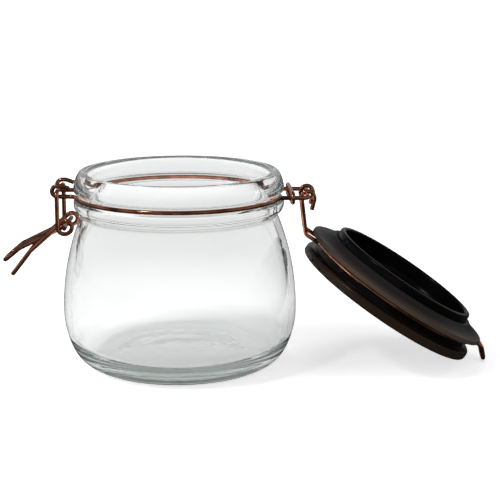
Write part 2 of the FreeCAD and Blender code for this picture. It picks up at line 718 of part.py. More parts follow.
def make_lever(doc, s):
    """Lever: pivot ends through the front hooks, arms, a one-turn coil on each side and the handle."""
    pivot = latch_pivot(s)
    arm = lever_arm_offset(s)
    places = coil_points(s)
    handle_y = arm - coil_shift(s)
    drop = math.radians(s.handle_drop)
    grip = math.radians(s.grip_drop)
    pin_end = s.latch_hook_spread / 2 - s.pivot_end

    def half(side):
        foot = Vector(places[0][0], arm * side, places[0][1])
        pin = Vector(pivot.x, pin_end * side, pivot.z)
        top = Vector(pivot.x, arm * side, pivot.z)
        path = bent([pin, top, foot], [s.wire_bend])
        handle_start = Vector(places[-1][0], handle_y * side, places[-1][1])
        knee = handle_start + Vector(-math.cos(drop), 0, -math.sin(drop)) * s.handle_length
        knee.y = (handle_y - s.handle_taper) * side
        tip = Vector(knee.x, 0, knee.z) + Vector(-math.cos(grip), 0, -math.sin(grip)) * s.grip_length
        tip_corner = tip + Vector(0, s.grip_width / 2 * side, 0)
        steps = len(places) - 1
        spots = []
        for index, (x, z, heading_x, heading_z) in enumerate(places):
            share = index / steps
            lead = -side * coil_shift(s) / (2 * math.pi * s.coil_inner_radius) if 0 < index < steps else 0
            heading = unit(Vector(heading_x, lead, heading_z))
            spots.append((Vector(x, (arm - coil_shift(s) * share) * side, z), heading))
        spots[-1] = (handle_start, unit(knee - handle_start))
        for (start, heading), (end, end_heading) in zip(spots, spots[1:]):
            path += biarc(start, heading, end, end_heading)
        return path + bent([handle_start, knee, tip_corner, tip], [s.handle_bend, s.grip_bend])

    return make_wire_piece(doc, "lever", half(-1) + reverse(half(1)))


def bail_pivot(s):
    """Middle of the bail's ends, in the lever's coils."""
    pivot = latch_pivot(s)
    return Vector(pivot.x + s.coil_outer_radius, 0, pivot.z - s.arm_length - s.bail_pivot_drop)


def make_bail(doc, s):
    """Bail: a loop whose ends turn out through the lever's coils."""
    pivot = bail_pivot(s)
    arm = lever_arm_offset(s)
    coil_inside = arm - coil_shift(s) - s.wire_diameter / 2
    leg = coil_inside - s.bail_side_gap - s.wire_diameter / 2
    end = arm + s.wire_diameter / 2 + s.bail_end
    drop = math.radians(s.bail_drop)
    tip_drop = math.radians(s.bail_tip_drop)

    def half(side):
        corner = pivot + Vector(0, leg * side, 0)
        knee = pivot + Vector(-math.cos(drop), 0, -math.sin(drop)) * s.bail_length
        tip = knee + Vector(-math.cos(tip_drop), 0, -math.sin(tip_drop)) * s.bail_tip_length
        knee = knee + Vector(0, (leg - s.bail_taper) * side, 0)
        tip_corner = tip + Vector(0, s.bail_tip_width / 2 * side, 0)
        points = [pivot + Vector(0, end * side, 0), corner, knee, tip_corner, tip]
        return bent(points, [s.wire_bend, s.bail_bend, s.bail_tip_bend])

    return make_wire_piece(doc, "bail", half(-1) + reverse(half(1)))


def open_angle(s):
    """Swing, in degrees, that brings the closed lid's tongue down to the table behind the jar."""
    bar = hinge_bar(s)
    arm = tongue_tip(s) - bar
    rest_height = s.table_gap + s.wire_diameter / 2
    from_top = math.acos((rest_height - bar.z) / arm.Length)
    return math.degrees(from_top - math.atan2(arm.x, arm.z))


def swing_open(doc, s, labels):
    """Swing the closed lid's pieces open about the hinge bar."""
    opening = FreeCAD.Rotation(Vector(0, 1, 0), open_angle(s))
    swing = FreeCAD.Placement(Vector(0, 0, 0), opening, hinge_bar(s))
    for label in labels:
        doc.getObject(label).Placement = swing
    print(f"lid swung open by {open_angle(s):.3f} degrees")


def check(doc):
    """Stop if an object failed or a sub-part's shape isn't one valid solid."""
    for item in doc.Objects:
        if "Invalid" in item.State or "Error" in item.State:
            raise RuntimeError(f"{item.Label} failed to build")
    for label in NODES:
        shape = doc.getObject(label).Shape
        if shape.isNull() or not shape.isValid() or len(shape.Solids) != 1:
            raise RuntimeError(f"{label} isn't one valid solid")


def main():
    """Build the document and write one file for each sub-part."""
    os.makedirs("parts", exist_ok=True)
    doc = FreeCAD.newDocument("clip_top_jar")
    s = Sizes(make_sheet(doc))
    make_jar(doc)
    make_neck_ring(doc, s)
    make_keeper(doc, s)
    make_lever(doc, s)
    make_bail(doc, s)
    make_lid(doc)
    make_gasket(doc)
    make_lid_ring(doc, s)
    swing_open(doc, s, ("lid", "gasket", "lid_ring"))
    doc.recompute()
    check(doc)
    for label in NODES:
        shape = doc.getObject(label).Shape
        shape.exportStep(f"parts/{label}.step")
        box = shape.optimalBoundingBox(True, False)
        across = f"x {box.XMin:.2f} to {box.XMax:.2f}, z {box.ZMin:.2f} to {box.ZMax:.2f}"
        print(f"{label}: {shape.Volume:.0f} mm3, {across}")


main()
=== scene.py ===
"""Clip-top glass jar with its lid swung open, dressed for a plain studio picture.

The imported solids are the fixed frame. The glass, the lid and the sealing ring are turned again here from
finer sections of the same sizes, and the bent wires keep their solids and get a copper finish.
Sizes are in millimetres and the scene is in metres, with +Z up and the lid's hinge on the +X side.
"""
from __future__ import annotations

import logging
import math
from dataclasses import dataclass, field
from enum import Enum

import bpy
from mathutils import Matrix, Vector

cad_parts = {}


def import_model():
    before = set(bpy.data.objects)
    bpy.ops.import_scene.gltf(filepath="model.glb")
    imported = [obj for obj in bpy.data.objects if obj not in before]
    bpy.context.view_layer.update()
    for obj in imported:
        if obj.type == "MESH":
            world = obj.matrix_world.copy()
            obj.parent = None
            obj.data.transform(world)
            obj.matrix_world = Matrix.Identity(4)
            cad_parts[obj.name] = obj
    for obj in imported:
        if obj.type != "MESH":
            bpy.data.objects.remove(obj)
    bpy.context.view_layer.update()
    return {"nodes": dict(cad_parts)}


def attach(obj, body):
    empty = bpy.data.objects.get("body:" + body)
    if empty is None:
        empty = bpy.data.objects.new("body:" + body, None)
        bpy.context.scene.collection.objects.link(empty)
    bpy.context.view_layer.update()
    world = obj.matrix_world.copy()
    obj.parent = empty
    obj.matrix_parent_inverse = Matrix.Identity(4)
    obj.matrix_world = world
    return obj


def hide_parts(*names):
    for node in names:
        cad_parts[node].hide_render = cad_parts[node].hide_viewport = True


LOG = logging.getLogger("clip_top_jar")
MM = 0.001
GLASS_BOUNCES = 32
MERGE_DISTANCE = 0.002
SMOOTH_ANGLE = 40.0
CLOUD_DETAIL = 4.0
CLOUD_ROUGHNESS = 0.55
GRAIN_DETAIL = 2.0
NOISE_MIDDLE = 0.5

Colour = tuple[float, float, float, float]
Place = tuple[float, float, float]

WHITE: Colour = (1.0, 1.0, 1.0, 1.0)
BLACK: Colour = (0.0, 0.0, 0.0, 1.0)


class Body(Enum):
    """The rigid bodies that the turned pieces ride on."""

    JAR = "jar"
    LID = "lid_body"


class Slot(Enum):
    """The record's material slots of the turned pieces."""

    GLASS = "glass"
    LID = "lid"
    GASKET = "gasket"


# Sections of turned pieces

@dataclass
class Section:
    """Half section of a turned piece, as (radius, height) points in millimetres.

    Corners that are marked are rounded when the points are taken.
    """

    points: list[Vector] = field(default_factory=list)
    corners: list[tuple[int, float]] = field(default_factory=list)

    def start(self, radius: float, height: float) -> None:
        """Begin the section at a point."""
        self.points = [Vector((radius, height))]

    def line(self, radius: float, height: float, corner: float = 0.0) -> None:
        """Straight edge to a point.

        Args:
            radius: Radius of the point.
            height: Height of the point.
            corner: Rounding of the corner at that point, 0 for none.
        """
        self.points.append(Vector((radius, height)))
        self.mark(corner)

    def mark(self, corner: float) -> None:
        """Round the corner at the last point by a radius, unless it is 0."""
        if corner > 0.0:
            self.corners.append((len(self.points) - 1, corner))

    def arc(self, centre: Vector, radius: float, height: float, corner: float = 0.0, steps: int = 20) -> None:
        """Short way round a centre from the last point to another.

        Args:
            centre: Centre of the arc.
            radius: Radius of the end point.
            height: Height of the end point.
            corner: Rounding of the corner at the end, 0 for none.
            steps: Number of straight steps.
        """
        begin = self.points[-1] - centre
        finish = Vector((radius, height)) - centre
        first = math.atan2(begin.y, begin.x)
        sweep = math.remainder(math.atan2(finish.y, finish.x) - first, 2 * math.pi)
        for step in range(1, steps + 1):
            share = step / steps
            size = begin.length * (1 - share) + finish.length * share
            angle = first + sweep * share
            self.points.append(centre + Vector((math.cos(angle), math.sin(angle))) * size)
        self.mark(corner)

    def arc_level(self, radius: float, height: float, level: float, corner: float = 0.0) -> None:
        """Arc to a point with its centre at a height, so that it is upright there.

        Args:
            radius: Radius of the end point.
            height: Height of the end point.
            level: Height of the centre.
            corner: Rounding of the corner at the end, 0 for none.
        """
        here = self.points[-1]
        across = radius ** 2 - here.x ** 2 + (height - level) ** 2 - (here.y - level) ** 2
        self.arc(Vector((across / (2 * (radius - here.x)), level)), radius, height, corner)

    def arc_crown(self, radius: float, height: float, corner: float = 0.0) -> None:
        """Arc to a point with its centre on the axis, so that it is level there.

        Args:
            radius: Radius of the end point.
            height: Height of the end point.
            corner: Rounding of the corner at the end, 0 for none.
        """
        here = self.points[-1]
        rise = height ** 2 - here.y ** 2 + radius ** 2 - here.x ** 2
        self.arc(Vector((0.0, rise / (2 * (height - here.y)))), radius, height, corner)

    def heel(self, floor: Vector, belly: Vector, heel_radius: float, upwards: bool) -> None:
        """Heel arc off a level floor and a side arc that is upright at the belly, tangent to each other.

        Args:
            floor: Point where the heel leaves the floor.
            belly: Point where the side is upright.
            heel_radius: Radius of the heel.
            upwards: Whether the section runs from floor to belly.
        """
        heel_centre = floor + Vector((0.0, heel_radius))
        inset = floor.x - belly.x
        drop = heel_centre.y - belly.y
        side_radius = (heel_radius ** 2 - inset ** 2 - drop ** 2) / (2 * (inset + heel_radius))
        side_centre = belly - Vector((side_radius, 0.0))
        meeting = side_centre + (heel_centre - side_centre).normalized() * side_radius
        if upwards:
            self.arc(heel_centre, meeting.x, meeting.y)
            self.arc(side_centre, belly.x, belly.y)
        else:
            self.arc(side_centre, meeting.x, meeting.y)
            self.arc(heel_centre, floor.x, floor.y)

    def cut_back(self, points: list[Vector], corner: int, way: int, distance: float) -> tuple[Vector, int]:
        """Walk along the points from a corner.

        Args:
            points: The points to walk along.
            corner: Index of the corner.
            way: 1 to walk onwards and -1 to walk back.
            distance: How far to walk.

        Returns:
            The place reached and the index of the next point after it.
        """
        here = corner
        left = distance
        while 0 <= here + way < len(points):
            run = (points[here + way] - points[here]).length
            if run > left:
                return points[here].lerp(points[here + way], left / run), here + way
            left -= run
            here += way
        return points[here], here

    def rounded(self, steps: int = 8) -> list[Vector]:
        """The points with each marked corner rounded.

        Args:
            steps: Number of straight steps in a rounding.

        Returns:
            The points, in order.
        """
        points = list(self.points)
        for index, radius in reversed(self.corners):
            before = (points[index - 1] - points[index]).normalized()
            after = (points[index + 1] - points[index]).normalized()
            half_turn = (math.pi - before.angle(after)) / 2
            reach = radius * math.tan(half_turn)
            begin, last = self.cut_back(points, index, -1, reach)
            finish, following = self.cut_back(points, index, 1, reach)
            tip = points[index]
            bend = []
            for step in range(steps + 1):
                share = step / steps
                bend.append(begin.lerp(tip, share).lerp(tip.lerp(finish, share), share))
            points = points[:last + 1] + bend + points[following:]
        return points


def deselect_everything() -> None:
    """Leave edit mode and drop every selection."""
    if bpy.context.object is not None and bpy.context.object.mode != "OBJECT":
        bpy.ops.object.mode_set(mode="OBJECT")
    bpy.ops.object.select_all(action="DESELECT")


def turn_section(name: str, section: Section, steps: int = 160) -> bpy.types.Object:
    """Turn a section once round the axis, by extruding its line and spinning it.

    Args:
        name: Name of the new piece.
        section: The half section, from the axis or closed on itself.
        steps: Number of steps round the axis.

    Returns:
        The turned piece, with its place in its mesh.
    """
    points = section.rounded()
    deselect_everything()
    bpy.ops.mesh.primitive_plane_add(size=MM, location=(0, 0, 0))
    piece = bpy.context.object
    piece.name = name
    piece.data.name = name
    bpy.ops.object.mode_set(mode="EDIT")
    bpy.ops.mesh.select_all(action="SELECT")
    bpy.ops.mesh.merge(type="CENTER")
    here = Vector((0.0, 0.0))
    for index, point in enumerate(points):
        step = (point - here) * MM
        move = {"value": (step.x, 0.0, step.y)}
        if index == 0:
            bpy.ops.transform.translate(**move)
        else:
            bpy.ops.mesh.extrude_vertices_move(TRANSFORM_OT_translate=move)
        here = point
    bpy.ops.mesh.select_all(action="SELECT")
    bpy.ops.mesh.spin(steps=steps, angle=2 * math.pi, center=(0, 0, 0), axis=(0, 0, 1))
    bpy.ops.mesh.select_all(action="SELECT")
    bpy.ops.mesh.remove_doubles(threshold=MERGE_DISTANCE * MM)
    bpy.ops.mesh.normals_make_consistent(inside=False)
    bpy.ops.object.mode_set(mode="OBJECT")
    bpy.ops.object.shade_smooth_by_angle(angle=math.radians(SMOOTH_ANGLE))
    return piece


# Shader node groups that several finishes share

def group_sockets(group: bpy.types.NodeTree, way: str, kind: str, *names: str) -> None:
    """Add sockets to a node group.

    Args:
        group: The node group.
        way: INPUT or OUTPUT.
        kind: Type of the sockets.
        names: Names of the sockets.
    """
    for name in names:
        group.interface.new_socket(name=name, in_out=way, socket_type=kind)


def colour_mix(tree: bpy.types.NodeTree, factor: bpy.types.NodeSocket) -> bpy.types.Node:
    """Node that mixes two colours, A at 0 and B at 1.

    Args:
        tree: Where the node goes.
        factor: Socket of the factor.

    Returns:
        The node, with inputs A and B and output Result.
    """
    mix = tree.nodes.new("ShaderNodeMix")
    mix.data_type = "RGBA"
    tree.links.new(factor, mix.inputs["Factor"])
    return mix


def mottle_group() -> bpy.types.NodeTree:
    """Cloudy mask with soft edges and a fine grain, for patina, haze and waviness.

    Returns:
        The node group, with inputs Vector, Scale, Contrast and Grain Scale and outputs Cloud and Grain.
    """
    group = bpy.data.node_groups.new("Mottle", "ShaderNodeTree")
    group_sockets(group, "INPUT", "NodeSocketVector", "Vector")
    group_sockets(group, "INPUT", "NodeSocketFloat", "Scale", "Contrast", "Grain Scale")
    group_sockets(group, "OUTPUT", "NodeSocketFloat", "Cloud", "Grain")
    nodes, links = group.nodes, group.links
    entry = nodes.new("NodeGroupInput")
    leave = nodes.new("NodeGroupOutput")
    cloud = nodes.new("ShaderNodeTexNoise")
    cloud.inputs["Detail"].default_value = CLOUD_DETAIL
    cloud.inputs["Roughness"].default_value = CLOUD_ROUGHNESS
    grain = nodes.new("ShaderNodeTexNoise")
    grain.inputs["Detail"].default_value = GRAIN_DETAIL
    centre = nodes.new("ShaderNodeMath")
    centre.operation = "SUBTRACT"
    centre.inputs[1].default_value = NOISE_MIDDLE
    spread = nodes.new("ShaderNodeMath")
    spread.operation = "MULTIPLY_ADD"
    spread.inputs[2].default_value = NOISE_MIDDLE
    spread.use_clamp = True
    links.new(entry.outputs["Vector"], cloud.inputs["Vector"])
    links.new(entry.outputs["Scale"], cloud.inputs["Scale"])
    links.new(entry.outputs["Vector"], grain.inputs["Vector"])
    links.new(entry.outputs["Grain Scale"], grain.inputs["Scale"])
    links.new(cloud.outputs["Fac"], centre.inputs[0])
    links.new(centre.outputs[0], spread.inputs[0])
    links.new(entry.outputs["Contrast"], spread.inputs[1])
    links.new(spread.outputs[0], leave.inputs["Cloud"])
    links.new(grain.outputs["Fac"], leave.inputs["Grain"])
    return group


def lid_place_group(swung: Matrix) -> bpy.types.NodeTree:
    """Place on the lid as if it were closed, for finishes that change across it.

    Args:
        swung: Turn that opens the closed lid.

    Returns:
        The node group, with input Vector and outputs Radius and Height in metres.
    """
    group = bpy.data.node_groups.new("Lid Place", "ShaderNodeTree")
    group_sockets(group, "INPUT", "NodeSocketVector", "Vector")
    group_sockets(group, "OUTPUT", "NodeSocketFloat", "Radius", "Height")
    nodes, links = group.nodes, group.links
    entry = nodes.new("NodeGroupInput")
    leave = nodes.new("NodeGroupOutput")
    closing = swung.inverted()
    closed = nodes.new("ShaderNodeMapping")
    closed.inputs["Location"].default_value = closing.to_translation()
    closed.inputs["Rotation"].default_value = closing.to_euler("XYZ")
    split = nodes.new("ShaderNodeSeparateXYZ")
    flat = nodes.new("ShaderNodeCombineXYZ")
    radius = nodes.new("ShaderNodeVectorMath")
    radius.operation = "LENGTH"
    links.new(entry.outputs["Vector"], closed.inputs["Vector"])
    links.new(closed.outputs["Vector"], split.inputs["Vector"])
    links.new(split.outputs["X"], flat.inputs["X"])
    links.new(split.outputs["Y"], flat.inputs["Y"])
    links.new(flat.outputs["Vector"], radius.inputs[0])
    links.new(radius.outputs["Value"], leave.inputs["Radius"])
    links.new(split.outputs["Z"], leave.inputs["Height"])
    return group


@dataclass(frozen=True)
class Pattern:
    """Sizes of the shared pattern: clouds and grains per metre, and the clouds' contrast."""

    scale: float
    contrast: float
    grain: float


@dataclass(frozen=True)
class Relief:
    """Strength of a bump, and its depth in millimetres."""

    strength: float
    depth: float


@dataclass
class Bench:
    """New material with its shader, its shared pattern and short ways to join nodes."""

    name: str
    mottle: bpy.types.NodeTree

    def __post_init__(self) -> None:
        """Make the material with a shader, object coordinates and the shared pattern."""
        self.material = bpy.data.materials.new(self.name)
        self.material.use_nodes = True
        self.nodes = self.material.node_tree.nodes
        self.links = self.material.node_tree.links
        self.shader = self.nodes["Principled BSDF"]
        self.output = self.nodes["Material Output"]
        self.place = self.nodes.new("ShaderNodeTexCoord")
        self.pattern = self.nodes.new("ShaderNodeGroup")
        self.pattern.node_tree = self.mottle
        self.join(self.place.outputs["Object"], self.pattern.inputs["Vector"])

    def join(self, source: bpy.types.NodeSocket, target: bpy.types.NodeSocket) -> None:
        """Link two sockets."""
        self.links.new(source, target)

    def set_shader(self, **values: float | Colour) -> None:
        """Set plain values on the shader, with spaces in socket names written as underscores."""
        for name, value in values.items():
            self.shader.inputs[name.replace("_", " ")].default_value = value

    def set_pattern(self, pattern: Pattern) -> None:
        """Set the sizes of the shared pattern."""
        self.pattern.inputs["Scale"].default_value = pattern.scale
        self.pattern.inputs["Contrast"].default_value = pattern.contrast
        self.pattern.inputs["Grain Scale"].default_value = pattern.grain

    def feed(self, socket: str, source: bpy.types.NodeSocket) -> None:
        """Link a socket to one of the shader's inputs."""
        self.join(source, self.shader.inputs[socket])

    def blend(self, factor: bpy.types.NodeSocket, low: Colour, high: Colour) -> bpy.types.NodeSocket:
        """Colour between two by a factor.

        Args:
            factor: Socket of the factor.
            low: Colour at 0.
            high: Colour at 1.

        Returns:
            The colour's socket.
        """
        mix = colour_mix(self.material.node_tree, factor)
        mix.inputs["A"].default_value = low
        mix.inputs["B"].default_value = high
        return mix.outputs["Result"]

    def place_on(self, group: bpy.types.NodeTree, output: str) -> bpy.types.NodeSocket:
        """One output of a group that reads object coordinates."""
        node = self.nodes.new("ShaderNodeGroup")
        node.node_tree = group
        self.join(self.place.outputs["Object"], node.inputs["Vector"])
        return node.outputs[output]

    def between(self, value: bpy.types.NodeSocket, low: float, high: float) -> bpy.types.NodeSocket:
        """Smooth mask that is 0 below one length and 1 above another.

        Args:
            value: Socket of a length in metres.
            low: Length at 0, in millimetres.
            high: Length at 1, in millimetres.

        Returns:
            The mask's socket.
        """
        spread = self.nodes.new("ShaderNodeMapRange")
        spread.interpolation_type = "SMOOTHSTEP"
        spread.inputs["From Min"].default_value = low * MM
        spread.inputs["From Max"].default_value = high * MM
        self.join(value, spread.inputs["Value"])
        return spread.outputs["Result"]

    def mixed(self, factor: bpy.types.NodeSocket, low: bpy.types.NodeSocket,
              high: bpy.types.NodeSocket) -> bpy.types.NodeSocket:
        """Colour between two colour sockets by a factor.

        Args:
            factor: Socket of the factor.
            low: Socket of the colour at 0.
            high: Socket of the colour at 1.

        Returns:
            The colour's socket.
        """
        mix = colour_mix(self.material.node_tree, factor)
        self.join(low, mix.inputs["A"])
        self.join(high, mix.inputs["B"])
        return mix.outputs["Result"]

    def ranged(self, factor: bpy.types.NodeSocket, low: float, high: float) -> bpy.types.NodeSocket:
        """Number between two by a factor.

        Args:
            factor: Socket of the factor.
            low: Value at 0.
            high: Value at 1.

        Returns:
            The number's socket.
        """
        spread = self.nodes.new("ShaderNodeMapRange")
        spread.inputs["To Min"].default_value = low
        spread.inputs["To Max"].default_value = high
        self.join(factor, spread.inputs["Value"])
        return spread.outputs["Result"]

    def bump(self, height: bpy.types.NodeSocket, relief: Relief) -> None:
        """Bend the shader's normal by a height.

        Args:
            height: Socket of the height.
            relief: Strength and depth of the bump.
        """
        node = self.nodes.new("ShaderNodeBump")
        node.inputs["Strength"].default_value = relief.strength
        node.inputs["Distance"].default_value = relief.depth * MM
        self.join(height, node.inputs["Height"])
        self.feed("Normal", node.outputs["Normal"])

    def two_tone(self, mask: bpy.types.NodeSocket, first: tuple[Colour, Colour],
                 second: tuple[Colour, Colour]) -> None:
        """Colour the shader with two clouded colours by a mask.

        Args:
            mask: Socket that is 0 for the first colour and 1 for the second.
            first: First colour and the colour of its clouds.
            second: Second colour and the colour of its clouds.
        """
        cloud = self.pattern.outputs["Cloud"]
        self.feed("Base Color", self.mixed(mask, self.blend(cloud, *first), self.blend(cloud, *second)))


# Finishes

@dataclass(frozen=True)
class ClearGlass:
    """Pressed soda glass: clear, faintly green where it is thick, with soft ripples from the mould, and
    painted shade that darkens its colour where it is seen edge-on.
    """

    tint: Colour = (0.985, 0.99, 0.988, 1.0)
    # Painted shade: the dark grey that the glass's colour turns to where it is seen edge-on.
    painted_edge_shade: Colour = (0.30, 0.33, 0.32, 1.0)
    painted_edge_shade_from: float = 0.80
    absorb: Colour = (0.46, 0.53, 0.50, 1.0)
    density: float = 7.5
    refraction: float = 1.5
    mirror: Colour = (0.45, 0.45, 0.45, 1.0)
    polished: float = 0.0
    dulled: float = 0.03
    pattern: Pattern = Pattern(scale=34.0, contrast=1.4, grain=620.0)
    ripple: Relief = Relief(strength=0.35, depth=0.34)

    def make(self, mottle: bpy.types.NodeTree) -> bpy.types.Material:
        """Build the material from the shared pattern."""
        bench = Bench("pressed_glass", mottle)
        bench.set_pattern(self.pattern)
        bench.set_shader(Transmission_Weight=1.0, IOR=self.refraction, Specular_Tint=self.mirror)
        # Painted shade: the glass's colour darkens towards its outline, where it is seen edge-on, which
        # darkens the jar's outline.
        grazing = bench.nodes.new("ShaderNodeLayerWeight")
        edge = bench.nodes.new("ShaderNodeMapRange")
        edge.interpolation_type = "SMOOTHSTEP"
        edge.inputs["From Min"].default_value = self.painted_edge_shade_from
        bench.join(grazing.outputs["Facing"], edge.inputs["Value"])
        bench.feed("Base Color", bench.blend(edge.outputs["Result"], self.tint, self.painted_edge_shade))
        bench.feed("Roughness", bench.ranged(bench.pattern.outputs["Grain"], self.polished, self.dulled))
        bench.bump(bench.pattern.outputs["Cloud"], self.ripple)
        volume = bench.nodes.new("ShaderNodeVolumeAbsorption")
        volume.inputs["Color"].default_value = self.absorb
        volume.inputs["Density"].default_value = self.density
        bench.join(volume.outputs["Volume"], bench.output.inputs["Volume"])
        return bench.material


@dataclass(frozen=True)
class CopperWire:
    """Drawn steel wire with antique copper plating: bright copper with brown patina."""

    copper: Colour = (0.80, 0.33, 0.19, 1.0)
    patina: Colour = (0.10, 0.036, 0.021, 1.0)
    polished: float = 0.07
    dulled: float = 0.20
    pattern: Pattern = Pattern(scale=110.0, contrast=2.4, grain=2600.0)
    drawing: Relief = Relief(strength=0.12, depth=0.02)

    def make(self, mottle: bpy.types.NodeTree) -> bpy.types.Material:
        """Build the material from the shared pattern."""
        bench = Bench("antique_copper", mottle)
        bench.set_pattern(self.pattern)
        bench.set_shader(Metallic=1.0)
        cloud = bench.pattern.outputs["Cloud"]
        bench.feed("Base Color", bench.blend(cloud, self.copper, self.patina))
        bench.feed("Roughness", bench.ranged(cloud, self.polished, self.dulled))
        bench.bump(bench.pattern.outputs["Grain"], self.drawing)
        return bench.material


@dataclass(frozen=True)
class BlackLacquer:
    """Gloss black lid with a painted brown sheen on its disc, which turns it a warm brown black, and a trace
    of dust.
    """

    black: Colour = (0.0012, 0.0011, 0.0010, 1.0)
    black_haze: Colour = (0.0024, 0.0021, 0.0019, 1.0)
    # Painted sheen: the warm brown black of the disc and of its clouds.
    brown: Colour = (0.011, 0.0065, 0.004, 1.0)
    painted_sheen_haze: Colour = (0.024, 0.015, 0.010, 1.0)
    painted_sheen_from: float = 99.4
    painted_sheen_to: float = 101.0
    gloss: float = 0.16
    haze: float = 0.30
    refraction: float = 1.5
    specular: float = 0.09
    pattern: Pattern = Pattern(scale=26.0, contrast=2.2, grain=1500.0)
    peel: Relief = Relief(strength=0.05, depth=0.02)

    def make(self, mottle: bpy.types.NodeTree, lid_place: bpy.types.NodeTree) -> bpy.types.Material:
        """Build the material from the shared pattern and the place on the lid."""
        bench = Bench("black_lacquer", mottle)
        bench.set_pattern(self.pattern)
        bench.set_shader(IOR=self.refraction, Specular_IOR_Level=self.specular)
        # Painted sheen: the disc is coloured a warm brown black in place of the brown gloss along its edges.
        disc = bench.between(bench.place_on(lid_place, "Height"), self.painted_sheen_from, self.painted_sheen_to)
        bench.two_tone(disc, (self.black, self.black_haze), (self.brown, self.painted_sheen_haze))
        bench.feed("Roughness", bench.ranged(bench.pattern.outputs["Cloud"], self.gloss, self.haze))
        bench.bump(bench.pattern.outputs["Grain"], self.peel)
        return bench.material


@dataclass(frozen=True)
class SealRubber:
    """Smoky silicone of the sealing ring, satin to the touch and warmer on its flare."""

    smoke: Colour = (0.012, 0.0115, 0.011, 1.0)
    smoke_haze: Colour = (0.020, 0.018, 0.017, 1.0)
    amber: Colour = (0.046, 0.033, 0.024, 1.0)
    amber_haze: Colour = (0.066, 0.048, 0.035, 1.0)
    amber_from: float = 40.5
    amber_to: float = 46.4
    satin: float = 0.30
    dull: float = 0.46
    refraction: float = 1.42
    specular: float = 0.10
    pattern: Pattern = Pattern(scale=45.0, contrast=1.8, grain=1200.0)
    skin: Relief = Relief(strength=0.10, depth=0.03)

    def make(self, mottle: bpy.types.NodeTree, lid_place: bpy.types.NodeTree) -> bpy.types.Material:
        """Build the material from the shared pattern and the place on the lid."""
        bench = Bench("smoky_silicone", mottle)
        bench.set_pattern(self.pattern)
        bench.set_shader(IOR=self.refraction, Specular_IOR_Level=self.specular)
        flare = bench.between(bench.place_on(lid_place, "Radius"), self.amber_from, self.amber_to)
        bench.two_tone(flare, (self.smoke, self.smoke_haze), (self.amber, self.amber_haze))
        bench.feed("Roughness", bench.ranged(bench.pattern.outputs["Cloud"], self.satin, self.dull))
        bench.bump(bench.pattern.outputs["Grain"], self.skin)
        return bench.material


# Sub-assemblies

@dataclass
class GlassJar:
    """The pressed jar: hollow base, belly, waist, bead, wire groove, collar and rim."""

    height: float = 91.5
    belly_radius: float = 54.5
    belly_height: float = 27.0
    heel_radius: float = 16.0
    base_radius: float = 36.0
    standing_ring: float = 5.0
    punt: float = 1.6
    waist_radius: float = 45.2
    waist_height: float = 72.0
    bead_radius: float = 48.7
    bead_height: float = 76.6
    groove_radius: float = 47.0
    groove_half: float = 1.3
    groove_flank: float = 0.9
    ring_height: float = 80.6
    rim_radius: float = 45.9
    mouth_radius: float = 42.2
    mouth_depth: float = 20.5
    wall: float = 3.2
    floor_edge: float = 7.4
    floor_crown: float = 1.0
    inner_heel: float = 12.0
    inner_lean: float = 0.6
    foot_round: float = 1.5
    waist_round: float = 1.6
    groove_lip: float = 0.8
    groove_root: float = 0.5
    rim_round: float = 1.6
    shoulder_round: float = 9.0
    steps: int = 192

    def section(self) -> Section:
        """Half section, up the outside and down the inside.

        Returns:
            The section, from axis to axis.
        """
        groove_low = self.ring_height - self.groove_half
        groove_high = self.ring_height + self.groove_half
        collar_low = groove_high + self.groove_flank
        inner_belly = self.belly_radius - self.wall
        inner_base = inner_belly - self.inner_heel - self.inner_lean
        line = Section()
        line.start(0.0, self.punt)
        line.arc_crown(self.base_radius - self.standing_ring, 0.0, corner=self.foot_round)
        line.line(self.base_radius, 0.0)
        belly = Vector((self.belly_radius, self.belly_height))
        line.heel(Vector((self.base_radius, 0.0)), belly, self.heel_radius, upwards=True)
        line.arc_level(self.waist_radius, self.waist_height, self.belly_height, corner=self.waist_round)
        line.arc_level(self.bead_radius, self.bead_height, self.bead_height)
        line.line(self.bead_radius, groove_low - self.groove_flank, corner=self.groove_lip)
        line.line(self.groove_radius, groove_low, corner=self.groove_root)
        line.line(self.groove_radius, groove_high, corner=self.groove_root)
        line.line(self.bead_radius, collar_low, corner=self.groove_lip)
        line.arc_level(self.rim_radius, self.height, collar_low, corner=self.rim_round)
        line.line(self.mouth_radius, self.height, corner=self.rim_round)
        line.line(self.mouth_radius, self.height - self.mouth_depth, corner=self.shoulder_round)
        line.arc_level(inner_belly, self.belly_height, self.belly_height)
        line.heel(Vector((inner_base, self.floor_edge)), Vector((inner_belly, self.belly_height)),
                  self.inner_heel, upwards=False)
        line.arc_crown(0.0, self.floor_edge + self.floor_crown)
        return line

    def build(self, glass: bpy.types.Material) -> bpy.types.Object:
        """Turn the jar, dress it and set it on its body.

        Args:
            glass: The jar's finish.

        Returns:
            The jar.
        """
        jar = turn_section("jar_glass", self.section(), steps=self.steps)
        jar.data.materials.append(glass)
        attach(jar, Body.JAR.value)
        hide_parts("glass_jar")
        return jar


